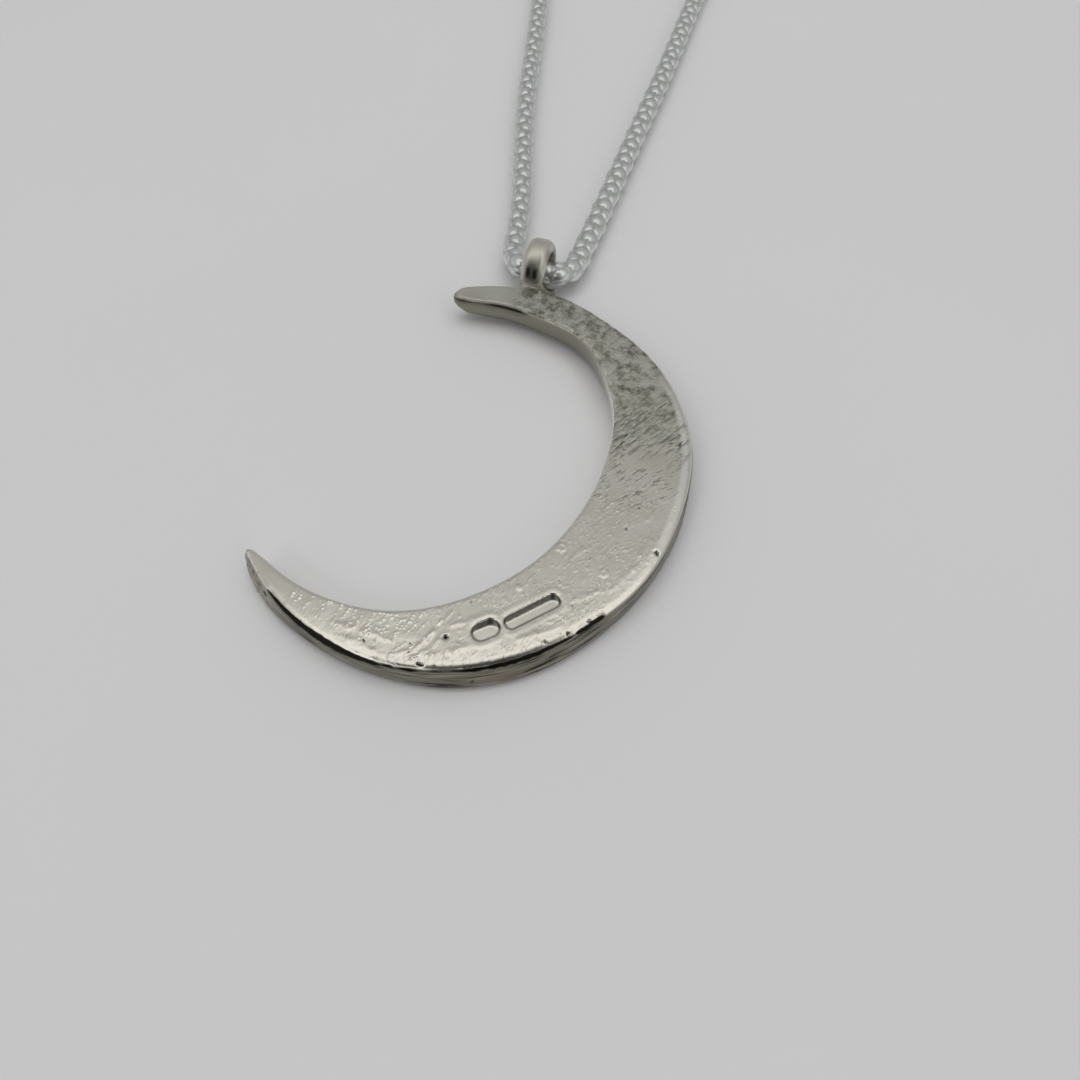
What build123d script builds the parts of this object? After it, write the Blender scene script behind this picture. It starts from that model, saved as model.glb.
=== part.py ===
"""Crescent moon pendant on a popcorn chain, laid on a table with its back up.

Millimetres, +Z up, the table at z = 0. The origin is under the middle of the
whole necklace. The moon lies at the -Y end and the clasp at the +Y end.
"""
from math import cos, pi, radians, sin, tan
import os

from build123d import *

os.makedirs("parts", exist_ok=True)

# The moon: radius of its outline and thickness at its belly
moon_x = -25.4
moon_y = -102.6
moon_radius = 15.0
moon_thickness = 2.3

# Rounding of the four long edges of the moon
rim_rounding = 0.45
inner_rounding = 0.28
front_outer_rounding = 0.6
front_inner_rounding = 0.45

# Sections across the moon, from the upper tip round the belly to the lower tip.
# angle is in degrees round the moon's centre. inner, toe, rim and foot are shares of
# moon_radius: the inner wall at the back and at the front, then the outer wall the
# same way. depth is a share of moon_thickness, measured down from the flat back.
moon_sections = (
    # angle, inner, toe, rim, foot, depth
    (94.6, 0.896, 0.900, 0.916, 0.918, 0.48),
    (93.6, 0.886, 0.890, 0.938, 0.941, 0.56),
    (91.8, 0.873, 0.878, 0.960, 0.963, 0.63),
    (88.5, 0.858, 0.864, 0.976, 0.979, 0.68),
    (80.0, 0.848, 0.856, 0.992, 0.996, 0.74),
    (64.0, 0.820, 0.838, 1.010, 1.014, 0.79),
    (48.0, 0.812, 0.823, 0.996, 1.004, 0.81),
    (32.0, 0.752, 0.772, 1.006, 1.013, 0.85),
    (14.0, 0.698, 0.706, 1.016, 1.024, 0.94),
    (-4.0, 0.642, 0.648, 1.013, 1.023, 1.00),
    (-22.0, 0.617, 0.617, 0.999, 1.018, 1.00),
    (-40.0, 0.618, 0.618, 1.010, 1.013, 1.00),
    (-58.0, 0.646, 0.646, 1.002, 1.036, 1.00),
    (-74.0, 0.683, 0.683, 1.016, 1.058, 1.00),
    (-90.0, 0.739, 0.739, 1.024, 1.058, 1.00),
    (-106.0, 0.802, 0.802, 1.030, 1.038, 0.97),
    (-122.0, 0.854, 0.854, 1.011, 1.034, 0.93),
    (-136.0, 0.899, 0.899, 0.989, 1.033, 0.87),
    (-145.0, 0.933, 0.933, 0.976, 1.020, 0.78),
    (-148.3, 0.957, 0.957, 0.976, 1.004, 0.66),
)
section_rounding_limit = 0.26

# What is ground off the front, so that the belly rests on a flat face
front_grind = 0.03

# Two shallow bare recesses in the back: place on the moon, size and turn
recess_depth = 0.18
round_recess_angle = -80.2
round_recess_share = 0.871
round_recess_length = 1.75
round_recess_width = 1.15
long_recess_angle = -67.5
long_recess_share = 0.847
long_recess_length = 3.6
long_recess_width = 0.95
long_recess_turn = 6.0
recess_corner = 0.3

# The bail: a band ring that stands on the moon's outer edge and is level with its front
bail_angle = 72.6
bail_gap = 0.25
bail_hole_radius = 1.3
bail_wall = 0.8
bail_width = 1.9
bail_outer_rounding = 0.66
bail_inner_rounding = 0.12
bail_foot_bottom = 0.35
bail_foot_drop = 0.15
bail_foot_root = 0.7
bail_foot_bite = 0.53

# How far the foot stands out past the ring on each side, with a scoop in its right wing
foot_left_overhang = 0.1
foot_right_overhang = 1.15
foot_wing_overhang = 0.92
foot_wing_clearance = 0.08
foot_rounding = 0.12
scoop_radius = 0.5
scoop_depth = 0.28
scoop_setback = 0.35

# The chain
chain_diameter = 1.75
chain_play = 0.075
corner_share = 0.45

# The chain's route as offsets from the centre of the bail, after a straight run
# out of its mouth. rise is a share of the height that the bail lifts the chain by.
mouth_run = 1.0
left_route = (
    # x, y, rise
    (-1.66, 1.0, 0.85),
    (-2.02, 2.03, 0.45),
    (-2.0, 3.6, 0.08),
    (-1.64, 6.64, 0.0),
    (-1.37, 11.0, 0.0),
    (-1.37, 17.2, 0.0),
    (-1.12, 24.9, 0.0),
    (-0.38, 33.9, 0.0),
    (0.3, 43.9, 0.0),
    (0.05, 55.9, 0.0),
    (-2.6, 69.9, 0.0),
    (-8.0, 86.9, 0.0),
    (-14.7, 105.9, 0.0),
    (-20.2, 126.9, 0.0),
    (-21.0, 148.4, 0.0),
    (-15.2, 169.2, 0.0),
    (-3.7, 186.4, 0.0),
    (4.3, 195.6, 0.0),
)
right_route = (
    # x, y, rise
    (1.9, -0.09, 0.86),
    (2.54, 0.48, 0.6),
    (2.95, 1.44, 0.28),
    (3.48, 3.22, 0.02),
    (4.5, 6.0, 0.0),
    (5.7, 9.5, 0.0),
    (7.25, 14.1, 0.0),
    (9.4, 20.4, 0.0),
    (12.2, 28.5, 0.0),
    (15.3, 38.4, 0.0),
    (19.4, 50.4, 0.0),
    (25.7, 63.9, 0.0),
    (34.2, 79.4, 0.0),
    (44.0, 96.7, 0.0),
    (53.3, 115.4, 0.0),
    (60.0, 135.4, 0.0),
    (61.6, 155.4, 0.0),
    (58.2, 173.4, 0.0),
    (51.6, 187.4, 0.0),
    (43.6, 196.6, 0.0),
)
route_end_run = 7.2

# The end caps and the clasp, in a row along X at the far end
clasp_x = 25.3
clasp_y = 201.5
cap_wall = 0.25
cap_clearance = 0.07
cap_length = 2.6
cap_end_wall = 0.8
loop_mean_radius = 1.0
loop_wire = 0.5
clasp_mean_radius = 2.4
clasp_wire = 1.0
eye_mean_radius = 0.9
eye_wire = 0.5
clasp_slack = 0.15

# What follows from these sizes
chain_radius = chain_diameter / 2
bail_radius = bail_hole_radius + bail_wall
bail_reach = moon_radius + bail_gap + bail_radius
bail_x = moon_x + bail_reach * cos(radians(bail_angle))
bail_y = moon_y + bail_reach * sin(radians(bail_angle))
bail_z = bail_radius
bail_lift = bail_z - (bail_hole_radius - chain_radius - chain_play) - chain_radius
cap_bore = chain_radius + cap_clearance
cap_radius = cap_bore + cap_wall
row_z = max(cap_radius, loop_mean_radius + loop_wire / 2)
clasp_cx = bail_x + clasp_x
clasp_cy = bail_y + clasp_y
eye_cx = clasp_cx - clasp_mean_radius - eye_mean_radius
left_loop_cx = eye_cx - loop_mean_radius
right_loop_cx = (
    clasp_cx + clasp_mean_radius - clasp_wire / 2 - clasp_slack - loop_wire / 2 + loop_mean_radius
)

moon_centre = (moon_x, moon_y, 0.0)
bail_plane = Plane(
    origin=(bail_x, bail_y, bail_z),
    x_dir=(cos(radians(bail_angle)), sin(radians(bail_angle)), 0),
    z_dir=(0, 0, 1),
)


def section_plane(angle):
    """Upright plane through the moon's centre: x runs outward, y runs up."""
    a = radians(angle)
    return Plane(origin=moon_centre, x_dir=(cos(a), sin(a), 0), z_dir=(sin(a), -cos(a), 0))


def back_plane(angle, share, turn=0.0):
    """Plane on the back face, with x along the moon's outline."""
    a = radians(angle)
    x = moon_x + share * moon_radius * cos(a)
    y = moon_y + share * moon_radius * sin(a)
    t = a + radians(90.0 + turn)
    return Plane(origin=(x, y, moon_thickness), x_dir=(cos(t), sin(t), 0), z_dir=(0, 0, 1))


def corner_radii(points):
    """One radius for each inner point: as large as its two runs allow."""
    radii = []
    for before, point, after in zip(points, points[1:], points[2:]):
        into = Vector(*point) - Vector(*before)
        out = Vector(*after) - Vector(*point)
        half_turn = radians(into.get_angle(out)) / 2
        radii.append(corner_share * min(into.length, out.length) / tan(half_turn))
    return radii


def route_points(offsets, side, end_x):
    """Points of one half of the chain, from the bail to the cup of its end cap.

    side is 1 for the half that leaves to the right and -1 for the other.
    """
    start = Vector(bail_x, bail_y, chain_radius + bail_lift)
    points = [tuple(start), tuple(start - bail_plane.y_dir * (side * mouth_run))]
    points += [(bail_x + x, bail_y + y, chain_radius + rise * bail_lift) for x, y, rise in offsets]
    points.append((end_x + side * route_end_run, clasp_cy, row_z))
    points.append((end_x, clasp_cy, row_z))
    return points


def print_route(name, radii, solid, line_length):
    """Prints what the route is checked by."""
    section = pi * chain_radius**2
    ratio = solid.volume / (section * line_length)
    print(name, "radii", [round(r, 1) for r in radii])
    print(name, "length", round(line_length, 1), "volume against section times length", round(ratio, 4))


# The pendant: moon, bail and foot in one casting
with BuildPart() as pendant:
    for angle, inner, toe, rim, foot, depth in moon_sections:
        inside = inner * moon_radius
        inside_front = toe * moon_radius
        at_back = rim * moon_radius
        at_front = foot * moon_radius
        under = (1 - depth) * moon_thickness - front_grind
        limit = section_rounding_limit * (at_back - inside)
        rounding = (
            min(front_inner_rounding, limit),
            min(front_outer_rounding, limit),
            min(rim_rounding, limit),
            min(inner_rounding, limit),
        )
        with BuildSketch(section_plane(angle)):
            with BuildLine():
                FilletPolyline(
                    (inside_front, under),
                    (at_front, under),
                    (at_back, moon_thickness),
                    (inside, moon_thickness),
                    radius=rounding,
                    close=True,
                )
            make_face()
    loft()
    split(bisect_by=Plane.XY, keep=Keep.TOP)

    with BuildSketch(bail_plane):
        with BuildLine():
            FilletPolyline(
                (bail_hole_radius, -bail_width / 2),
                (bail_radius, -bail_width / 2),
                (bail_radius, bail_width / 2),
                (bail_hole_radius, bail_width / 2),
                radius=(
                    bail_inner_rounding,
                    bail_outer_rounding,
                    bail_outer_rounding,
                    bail_inner_rounding,
                ),
                close=True,
            )
        make_face()
    revolve(axis=Axis(bail_plane.origin, bail_plane.y_dir))

    foot_start = -(bail_radius + bail_gap + bail_foot_root)
    foot_end = -(bail_radius - bail_foot_bite)
    wing_end = -(bail_hole_radius + foot_wing_clearance)
    foot_half = bail_width / 2
    foot_top = moon_thickness - bail_foot_drop
    with BuildSketch(bail_plane.offset(bail_foot_bottom - bail_z)):
        with BuildLine():
            FilletPolyline(
                (foot_start, foot_half + foot_left_overhang),
                (foot_end, foot_half),
                (foot_end, -foot_half),
                (wing_end, -foot_half - foot_wing_overhang),
                (foot_start, -foot_half - foot_right_overhang),
                radius=foot_rounding,
                close=True,
            )
        make_face()
    extrude(amount=foot_top - bail_foot_bottom)
    scoop_centre = (
        wing_end - scoop_setback,
        -foot_half - foot_wing_overhang / 2,
        foot_top - bail_z + scoop_radius - scoop_depth,
    )
    with Locations(bail_plane.location * Location(scoop_centre)):
        Sphere(scoop_radius, mode=Mode.SUBTRACT)

    with BuildSketch(back_plane(round_recess_angle, round_recess_share)):
        SlotOverall(round_recess_length, round_recess_width)
    extrude(amount=-recess_depth, mode=Mode.SUBTRACT)

    with BuildSketch(back_plane(long_recess_angle, long_recess_share, long_recess_turn)):
        RectangleRounded(long_recess_length, long_recess_width, recess_corner)
    extrude(amount=-recess_depth, mode=Mode.SUBTRACT)


# The two halves of the chain, which meet in the bail
left_end_x = left_loop_cx - loop_mean_radius - cap_end_wall - cap_clearance
right_end_x = right_loop_cx + loop_mean_radius + cap_end_wall + cap_clearance
left_points = route_points(left_route, -1, left_end_x)
right_points = route_points(right_route, 1, right_end_x)
left_radii = corner_radii(left_points)
right_radii = corner_radii(right_points)

with BuildPart() as chain_left:
    with BuildLine() as left_line:
        FilletPolyline(*left_points, radius=left_radii)
    left_path = left_line.wire()
    with BuildSketch(Plane(origin=left_path @ 0, z_dir=left_path % 0)):
        Circle(chain_radius)
    sweep(path=left_path)

with BuildPart() as chain_right:
    with BuildLine() as right_line:
        FilletPolyline(*right_points, radius=right_radii)
    right_path = right_line.wire()
    with BuildSketch(Plane(origin=right_path @ 0, z_dir=right_path % 0)):
        Circle(chain_radius)
    sweep(path=right_path)

print_route("chain_left", left_radii, chain_left.part, left_path.length)
print_route("chain_right", right_radii, chain_right.part, right_path.length)


def cap_profile(face_x, away):
    """Half section of a cup that opens away from its loop, drawn in the plane of X and Z."""
    mouth = face_x + away * cap_length
    floor = face_x + away * cap_end_wall
    return (
        (face_x, 0),
        (face_x, cap_radius),
        (mouth, cap_radius),
        (mouth, cap_bore),
        (floor, cap_bore),
        (floor, 0),
    )


row_plane = Plane(origin=(0, clasp_cy, row_z), x_dir=(1, 0, 0), z_dir=(0, -1, 0))
row_axis = Axis((0, clasp_cy, row_z), (1, 0, 0))

# The end caps: a cup over the chain's end with an upright loop
with BuildPart() as end_cap_left:
    with BuildSketch(row_plane):
        Polygon(*cap_profile(left_loop_cx - loop_mean_radius, -1), align=None)
    revolve(axis=row_axis)
    with Locations(Location((left_loop_cx, clasp_cy, row_z), (90, 0, 0))):
        Torus(loop_mean_radius, loop_wire / 2)

with BuildPart() as end_cap_right:
    with BuildSketch(row_plane):
        Polygon(*cap_profile(right_loop_cx + loop_mean_radius, 1), align=None)
    revolve(axis=row_axis)
    with Locations(Location((right_loop_cx, clasp_cy, row_z), (90, 0, 0))):
        Torus(loop_mean_radius, loop_wire / 2)

# The clasp: a plain ring with an eye, lying level
with BuildPart() as clasp:
    with Locations((clasp_cx, clasp_cy, row_z)):
        Torus(clasp_mean_radius, clasp_wire / 2)
    with Locations((eye_cx, clasp_cy, row_z)):
        Torus(eye_mean_radius, eye_wire / 2)

pendant.part.label = "pendant"
chain_left.part.label = "chain_left"
chain_right.part.label = "chain_right"
end_cap_left.part.label = "end_cap_left"
end_cap_right.part.label = "end_cap_right"
clasp.part.label = "clasp"

export_step(pendant.part, "parts/pendant.step")
export_step(chain_left.part, "parts/chain_left.step")
export_step(chain_right.part, "parts/chain_right.step")
export_step(end_cap_left.part, "parts/end_cap_left.step")
export_step(end_cap_right.part, "parts/end_cap_right.step")
export_step(clasp.part, "parts/clasp.step")
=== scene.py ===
"""Crescent moon pendant on a popcorn chain: its finish and fine forms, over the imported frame.

Metres, +Z up. The moon lies on the table with its back up. Sizes are written in
millimetres and made metres where a mesh is finished.
"""

from math import acos, atan2, cos, degrees, exp, hypot, pi, radians, sin

import bmesh
import bpy
from mathutils import Matrix, Vector, noise


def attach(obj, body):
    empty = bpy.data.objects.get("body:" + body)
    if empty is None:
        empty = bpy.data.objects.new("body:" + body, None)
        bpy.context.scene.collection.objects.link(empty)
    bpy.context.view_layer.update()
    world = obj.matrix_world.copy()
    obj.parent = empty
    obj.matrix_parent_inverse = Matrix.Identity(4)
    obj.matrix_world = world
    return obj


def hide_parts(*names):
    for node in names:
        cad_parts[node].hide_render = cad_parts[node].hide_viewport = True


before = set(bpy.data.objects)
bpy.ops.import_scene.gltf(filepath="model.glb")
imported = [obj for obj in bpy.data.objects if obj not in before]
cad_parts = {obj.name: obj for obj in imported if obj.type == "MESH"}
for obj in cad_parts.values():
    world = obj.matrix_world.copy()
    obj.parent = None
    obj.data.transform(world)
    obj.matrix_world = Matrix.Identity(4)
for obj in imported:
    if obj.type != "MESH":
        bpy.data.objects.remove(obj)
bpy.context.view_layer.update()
# Vector noise is shifted by a draw that is seeded from the clock unless this is done
noise.seed_set(4)

mm = 0.001
merge_distance = 1e-6

# The camera, as the photograph was taken
photo_width = 1080
focal_px = 740.0
sensor_width = 36.0
camera_tilt = radians(28.64)
camera_distance = 44.65
camera_aim = Vector((-20.10, -109.69, 2.30))
to_camera = Vector((0, -sin(camera_tilt), cos(camera_tilt)))
camera_up = Vector((0, cos(camera_tilt), sin(camera_tilt)))
camera_place = camera_aim + to_camera * camera_distance

# The moon, as in the part
moon_x = -25.4
moon_y = -102.6
moon_radius = 15.0
moon_thickness = 2.3

# The outer edge of the moon's back: angle, share of moon_radius
moon_rim = (
    (-148.3, 0.976), (-145.0, 0.976), (-136.0, 0.989), (-122.0, 1.011), (-106.0, 1.030),
    (-90.0, 1.024), (-74.0, 1.016), (-58.0, 1.002), (-40.0, 1.010), (-22.0, 0.999),
    (-4.0, 1.013), (14.0, 1.016), (32.0, 1.006), (48.0, 0.996), (64.0, 1.010),
    (80.0, 0.992), (88.5, 0.976), (94.6, 0.916),
)

# The chain, as in the part
chain_radius = 0.875
bail_x = -20.212
bail_y = -86.044
bail_lift = 0.875
mouth_run = 1.0
mouth_direction = (0.954, -0.299)
left_route = (
    # x, y, rise
    (-1.66, 1.0, 0.85),
    (-2.02, 2.03, 0.45),
    (-2.0, 3.6, 0.08),
    (-1.64, 6.64, 0.0),
    (-1.37, 11.0, 0.0),
    (-1.37, 17.2, 0.0),
    (-1.12, 24.9, 0.0),
    (-0.38, 33.9, 0.0),
    (0.3, 43.9, 0.0),
    (0.05, 55.9, 0.0),
    (-2.6, 69.9, 0.0),
    (-8.0, 86.9, 0.0),
    (-14.7, 105.9, 0.0),
    (-20.2, 126.9, 0.0),
    (-21.0, 148.4, 0.0),
    (-15.2, 169.2, 0.0),
    (-3.7, 186.4, 0.0),
    (4.3, 195.6, 0.0),
)
right_route = (
    # x, y, rise
    (1.9, -0.09, 0.86),
    (2.54, 0.48, 0.6),
    (2.95, 1.44, 0.28),
    (3.48, 3.22, 0.02),
    (4.5, 6.0, 0.0),
    (5.7, 9.5, 0.0),
    (7.25, 14.1, 0.0),
    (9.4, 20.4, 0.0),
    (12.2, 28.5, 0.0),
    (15.3, 38.4, 0.0),
    (19.4, 50.4, 0.0),
    (25.7, 63.9, 0.0),
    (34.2, 79.4, 0.0),
    (44.0, 96.7, 0.0),
    (53.3, 115.4, 0.0),
    (60.0, 135.4, 0.0),
    (61.6, 155.4, 0.0),
    (58.2, 173.4, 0.0),
    (51.6, 187.4, 0.0),
    (43.6, 196.6, 0.0),
)
left_end = -1.082
right_end = 9.458
# How its first row is turned, and how much wider than high it lies
left_turn, left_spread = radians(22.5), 1.02
right_turn, right_spread = radians(15.0), 1.08
route_end_run = 7.2
row_y = 115.456
row_z = 1.25

# The bumps of the chain: a row of four, and the next row turned by half a step
bumps_in_row = 4
rows_in_run = 10
row_pitch = 1.05
core_radius = 0.71
core_sides = 24
bump_length = 0.68
bump_width = 0.53
bump_height = 0.47
bump_centre = 0.40
bump_sides = 12
bump_rings = 10
bump_cut = 0.02
# Where its side turns into a crease, as shares of its height
bump_crease = (0.25, 0.75)
# How far the bumps stray: their tilt, their slip along the chain and their rise
bump_tilt = 0.25
bump_slip = 0.06
bump_rise = 0.03
bump_sink = 0.02

# How far the moon's own skin goes: past its edge, as a share, and past its back, in mm
moon_past_edge = 0.06
moon_past_back = 0.05

# The casting's mesh, in mm: a coarse skin, split where it faces up on the back, and split once
# more where small marks lie
skin_grain = 0.15
back_above = 1.0
split_facing = 0.25
split_more_facing = 0.7
fine_angles = (-130, -96)
fine_edges = (-0.26, -0.01)
fine_past_recess = 0.2
# It is smoothed all over, more along the filed lower rim, and in the carved recesses
skin_passes = 3
filed_passes = 8
filed_angles = (-150, -50)
filed_reach = 0.42
carved_passes = 3
carved_above = 1.9
carved_past_recess = 0.12
# The part's own recesses are closed over first: what lies below the back and near them
sunk_above = 2.1
sunk_below_back = 0.001
sunk_past_recess = 0.3

# Where the casting is worn soft: place, reach and passes
soft_places = (
    ((-27.0, -88.6, 1.2), 1.7, 110),
    ((-38.0, -110.3, 1.5), 0.9, 12),
    ((-20.9, -88.4, 1.8), 1.7, 70),
    ((-19.2, -88.1, 1.6), 1.5, 40),
)
# The smoothing starts within this share of the reach and grows to the whole
soft_start = 0.35

# The band along the filed lower rim, cut in and given a painted dark reflection: angle, how
# thick it is
rim_band = (
    (-136.0, 0.0), (-134.5, 0.30), (-127.0, 0.40), (-120.0, 0.62), (-114.0, 0.62),
    (-109.0, 0.36), (-103.0, 0.16), (-92.0, 0.10), (-84.0, 0.14), (-77.0, 0.30), (-70.0, 0.30),
    (-65.0, 0.18), (-61.0, 0.06), (-59.5, 0.36), (-54.5, 0.36), (-52.5, 0.0),
)

# Marks on the back, by their pixels in the photograph and their size in mm
# Bubbles: x, y, radius
bubbles = ((604, 573, 0.21), (519, 587, 0.10), (562, 547, 0.22))
# Pits: from, to, radius, depth
pits = (
    (445, 637, 446, 637, 0.11, 0.10), (656, 552, 658, 554, 0.08, 0.12),
    (639, 508, 639, 508, 0.05, 0.06), (626, 528, 626, 529, 0.05, 0.05),
    (417, 664, 422, 665, 0.080, 0.06), (544, 640, 546, 643, 0.05, 0.05),
    (567, 633, 568, 636, 0.05, 0.05), (588, 621, 592, 622, 0.05, 0.07),
    (612, 612, 614, 611, 0.06, 0.08), (410, 643, 410, 643, 0.04, 0.05),
    (363, 639, 364, 641, 0.04, 0.04),
)
# Folds: from, to, radius, height
folds = (
    (434, 631, 420, 646, 0.12, 0.022), (420, 646, 388, 657, 0.13, 0.024),
    (426, 650, 411, 658, 0.10, 0.018), (431, 655, 433, 663, 0.17, 0.040),
    (322, 631, 350, 640, 0.18, 0.026), (350, 640, 372, 652, 0.20, 0.030),
    (362, 630, 392, 640, 0.17, 0.022), (372, 652, 396, 662, 0.16, 0.026),
    (437, 640, 431, 648, 0.15, 0.018), (333, 622, 352, 627, 0.15, 0.016),
    (452, 626, 470, 619, 0.13, 0.016), (452, 652, 470, 645, 0.20, 0.024),
    (520, 640, 560, 626, 0.18, 0.020), (575, 600, 600, 590, 0.18, 0.014),
    (640, 556, 652, 540, 0.18, 0.022), (648, 520, 660, 500, 0.16, 0.018),
    (600, 516, 612, 500, 0.13, 0.014), (575, 556, 590, 546, 0.15, 0.014),
    (679, 494, 670, 522, 0.12, 0.018), (670, 522, 655, 548, 0.15, 0.022),
    (684, 500, 677, 524, 0.09, 0.012), (655, 548, 634, 570, 0.17, 0.018),
    (634, 570, 610, 590, 0.18, 0.018),
)
# The lines of small beads across the lower left of the back: from, to
bead_lines = (
    (341, 605, 332.5, 620), (350.5, 606, 342.5, 617), (356, 610, 346, 628),
    (359, 618, 353.5, 630), (376, 611, 358.5, 637), (387, 623, 375, 641),
    (367, 632.5, 360, 642), (395, 633, 393.5, 641.5), (405, 642.5, 390, 653.5),
    (434, 631, 415, 643.5), (415, 643.5, 407, 650), (422.5, 652, 411, 658.5),
    (380, 612.5, 397, 615), (310, 602, 303.5, 607), (323, 605, 322, 611),
    (423.5, 611.5, 419, 616.5), (443.5, 619, 438.5, 623.5), (301, 594, 296, 600),
    (333, 600, 329, 603.5), (371, 626, 364, 632), (377, 626.5, 378.5, 633),
    (362, 616, 358, 620), (400, 620, 396, 627), (408, 622, 404, 628), (413, 615, 409, 621),
    (432, 655, 437, 655.5), (427, 656, 431, 654), (318, 612, 316, 615.5), (296, 588, 295, 590),
    (301, 591, 300, 593), (293, 593, 291.5, 596), (315, 594, 314, 597), (321, 600, 320, 602),
    (329, 600.5, 326, 603), (385, 616, 381, 622), (391, 617, 387, 624), (397, 619, 404, 620),
    (402, 625, 398, 632), (411, 627, 407, 633), (416, 622, 413, 627), (349, 619, 345, 627),
    (383, 629, 388, 631), (334, 624, 337, 627), (425, 623, 420, 628), (372, 619, 368, 625),
)
# The burr along the tip's outer edge: from, to
burr_lines = (
    (246.5, 552, 250, 560), (250, 560, 255.5, 570), (257.5, 574, 261, 581),
    (261, 581, 267.5, 591),
)
# The painted shade line under the upper horn's inner edge: from, to
horn_lines = ((455, 296, 480, 299), (480, 299, 505, 304.5), (505, 304.5, 529, 312.5))
horn_angles_above = 60
horn_line_above = 1.5
horn_line_reach = 0.35
horn_line_radius = 0.26
horn_line_start = (67.5, 73.5)
horn_line_end = (91.0, 95.0)
# Its darkness down the wall: height, width, share
horn_line_bands = ((2.09, 0.12, 0.95), (1.95, 0.34, 0.30))

# The relief of the back, in mm
swell_height = 0.012
melted_angle = -108.0
melted_height = 0.024
melted_drop = 0.045
speckle_height = 0.014
scratch_depth = 0.018
scratch_dark = 0.42
fleck_height = 0.014
burr_height = 0.025
burr_radius = 0.075
burr_angles_below = -128
bead_height = 0.034
bead_radius = 0.052
bead_gap = 0.19
bead_stray = 0.12
bead_reach = 2.2
bead_angles_below = -85
# Marks are left out past this many times their radius
mark_reach = 3
# A bubble's rim and dome: height, width
bubble_rim = (0.026, 0.06)
bubble_dome = (0.012, 0.10)
fold_stray = 0.14
fold_wander = 0.45
scratch_turn = radians(42)
fleck_turn = radians(54)
# Where the back is scratched, by y: where it starts, where it ends
scratched_relief = ((-105.5, -102.5), (-101.5, -98.0))
scratched_finish = ((-109.0, -105.0), (-102.0, -97.0))
scratched_angle_end = (40, 60)
# Where it is mottled: by y from below, and by angle
mottled_start = (-105.5, -99.0)
mottled_angles = ((-12.0, -2.0), (66.0, 82.0))
mottled_wander = 0.8
# Where the outer edge is worn bright, and where it is clean: by edge and by angle
worn_share = 0.75
worn_edge = (-0.055, -0.040)
worn_angles = ((-50.0, -25.0), (8.0, 28.0))
clean_edge = (-0.055, -0.030)
clean_angle_end = (15.0, 30.0)

# The slope filed along the back's lower edge, and at the tip: how steep it gets, how wide it is,
# and the angles at which it ends
filed_slope = 0.035
filed_width = 1.3
filed_end = (-35.0, -15.0)
tip_slope = 0.55
tip_width = 0.30
tip_end = (-134.0, -124.0)
rim_band_depth = 0.13

# The filed outer wall, in mm
wall_groove = 0.02
wall_swell = 0.010
raw_height = 0.045
wall_pit_depth = 0.12
wall_pits = (
    # angle, height, radius
    (-139.7, 1.6, 0.13), (-136.7, 1.6, 0.15), (-142.8, 1.75, 0.12), (-145.0, 1.6, 0.09),
    (-84.5, 1.1, 0.10),
)
# Where the outer wall near the tip is left raw, up to these angles
raw_wall = (-136.0, -131.0)

# How steep the skin gets, in degrees, while the back's relief and its finish fade out and the
# walls begin
relief_fades = (15, 50)
finish_fades = (40, 65)
wall_begins = (45, 66)
# The inner edge: where it is worn bright, where it gets a painted shade, and where it is matt,
# by steepness and by angle
inner_worn = (6, 20)
inner_worn_end = (20.0, 45.0)
inner_edge_shade = (28, 16)
inner_edge_shade_start = (35.0, 60.0)
inner_matt = (10, 50)
faces_front_start = (10.0, 55.0)

# The end of the upper horn, cast thicker: place, how much
horn_end = Vector((-26.6, -88.9, 1.2))
horn_swell = 0.20

# The two bare recesses, as in the part but rounder: angle, share, turn, length, width, corner
recesses = (
    (-80.2, 0.871, 14.0, 1.75, 1.15, 0.575),
    (-67.5, 0.847, 6.0, 3.6, 0.95, 0.42),
)
recess_depth = 0.24
recess_slope_far = 0.44
recess_slope_near = 0.11
recess_step = 0.02
recess_lip = 0.015

# Painted shade and painted dark reflections on the bail and its foot: place, reach round the
# ring and up it, how dark
bail_shades = (
    ((-20.98, -87.70, 3.14), 0.26, 0.62, 0.98), ((-20.52, -87.84, 3.10), 0.26, 0.60, 0.98),
    ((-20.76, -87.72, 3.18), 0.50, 0.88, 0.85), ((-20.88, -88.02, 2.55), 0.60, 0.42, 0.55),
    ((-19.45, -87.95, 2.20), 0.52, 0.55, 0.68), ((-19.20, -86.70, 3.45), 0.45, 0.60, 0.55),
)
# How far the bail's matt finish reaches from its middle
bail_reach = (2.6, 3.4)

# What each point of the casting's skin writes down for its finish
skin_layers = (
    "tarnish", "mottle", "scratched", "rung", "worn", "flecked", "wall", "matte", "along",
)

# The tent of light: degrees from the camera's direction, brightness
tent_tones = (
    (0, 0.015), (24, 0.015), (31, 0.92), (41.5, 0.92), (45.5, 0.70), (49.5, 0.47), (56, 0.365),
    (66, 0.34), (76, 0.26), (180, 0.26),
)
# The part of it that is faintly warm: degrees, share
tent_ring = ((0, 0.0), (28, 0.0), (33, 1.0), (44, 1.0), (50, 0.0))
ring_tint = (1.0, 0.965, 0.955, 1)
# How it darkens low in front: share of the way to the front, share of light left
front_shade = ((0.66, 1.0), (0.84, 0.06))
tent_strength = 1.35
backdrop_tone = 0.42

# The floor and the lamps, in metres and watts
floor_half = 2.0
floor_drop = 0.00002
fill_lamp = {"shape": "DISK", "size": 0.5, "energy": 0.55}
fill_place = (0.0, -0.05, 0.45)
spark_lamp = {"shadow_soft_size": 0.007, "energy": 0.12}
spark_place = (-0.16, -0.29, 0.25)


def ease(value, low, high):
    """Goes smoothly from 0 at low to 1 at high."""
    share = min(1.0, max(0.0, (value - low) / (high - low)))
    return share * share * (3 - 2 * share)


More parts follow.
